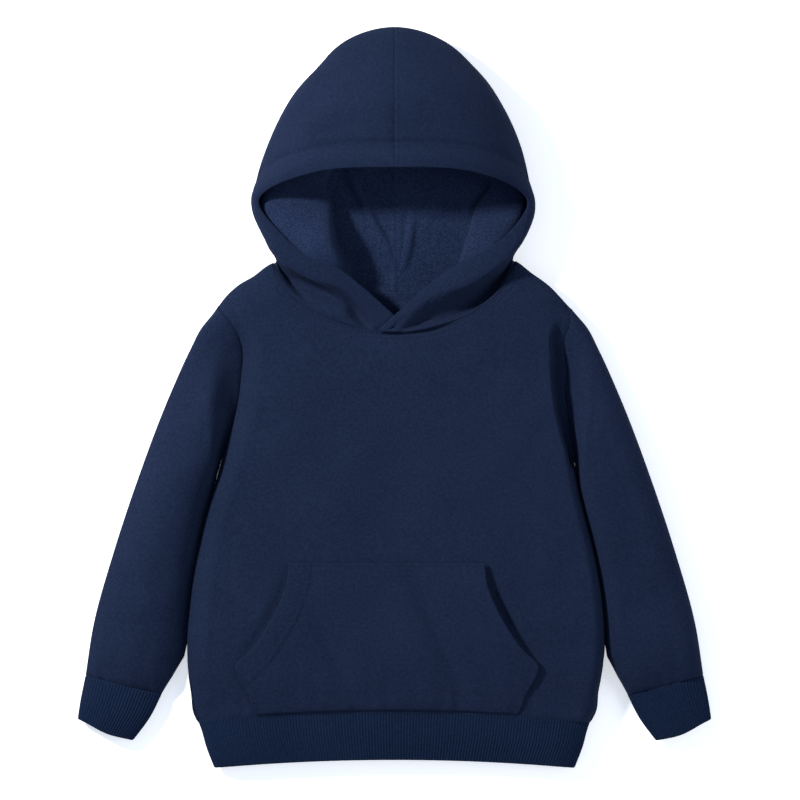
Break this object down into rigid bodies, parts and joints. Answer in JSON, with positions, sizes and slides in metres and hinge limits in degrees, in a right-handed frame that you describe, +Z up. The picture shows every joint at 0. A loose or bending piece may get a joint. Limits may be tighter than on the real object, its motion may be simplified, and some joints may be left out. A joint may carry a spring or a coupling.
{
  "type": "toddler pullover hoodie",
  "caption": "Toddler's pullover sweatshirt laid flat on its back, with a spread double-lapped hood, a kangaroo pocket and ribbed cuffs and hem.",
  "frame": {"origin": "on the surface the garment lies on, under the middle of its bounding box", "axes": "+X to the viewer's right across the sleeves, +Y from the hem to the top of the hood, +Z up from the surface; the front of the garment faces +Z"},
  "size_m": [0.538, 0.6285, 0.068],
  "materials": {
    "fleece": "navy sweatshirt fleece, matt, brushed on its inner side",
    "rib_knit": "navy rib knit, matt"
  },
  "bodies": {
    "root": {"front": "fleece", "back": "fleece", "sleeve_left": "fleece", "sleeve_right": "fleece", "hood_left": "fleece", "hood_right": "fleece", "pocket": "fleece", "cuff_left": "rib_knit", "cuff_right": "rib_knit", "hem_band": "rib_knit"}
  },
  "joints": []
}
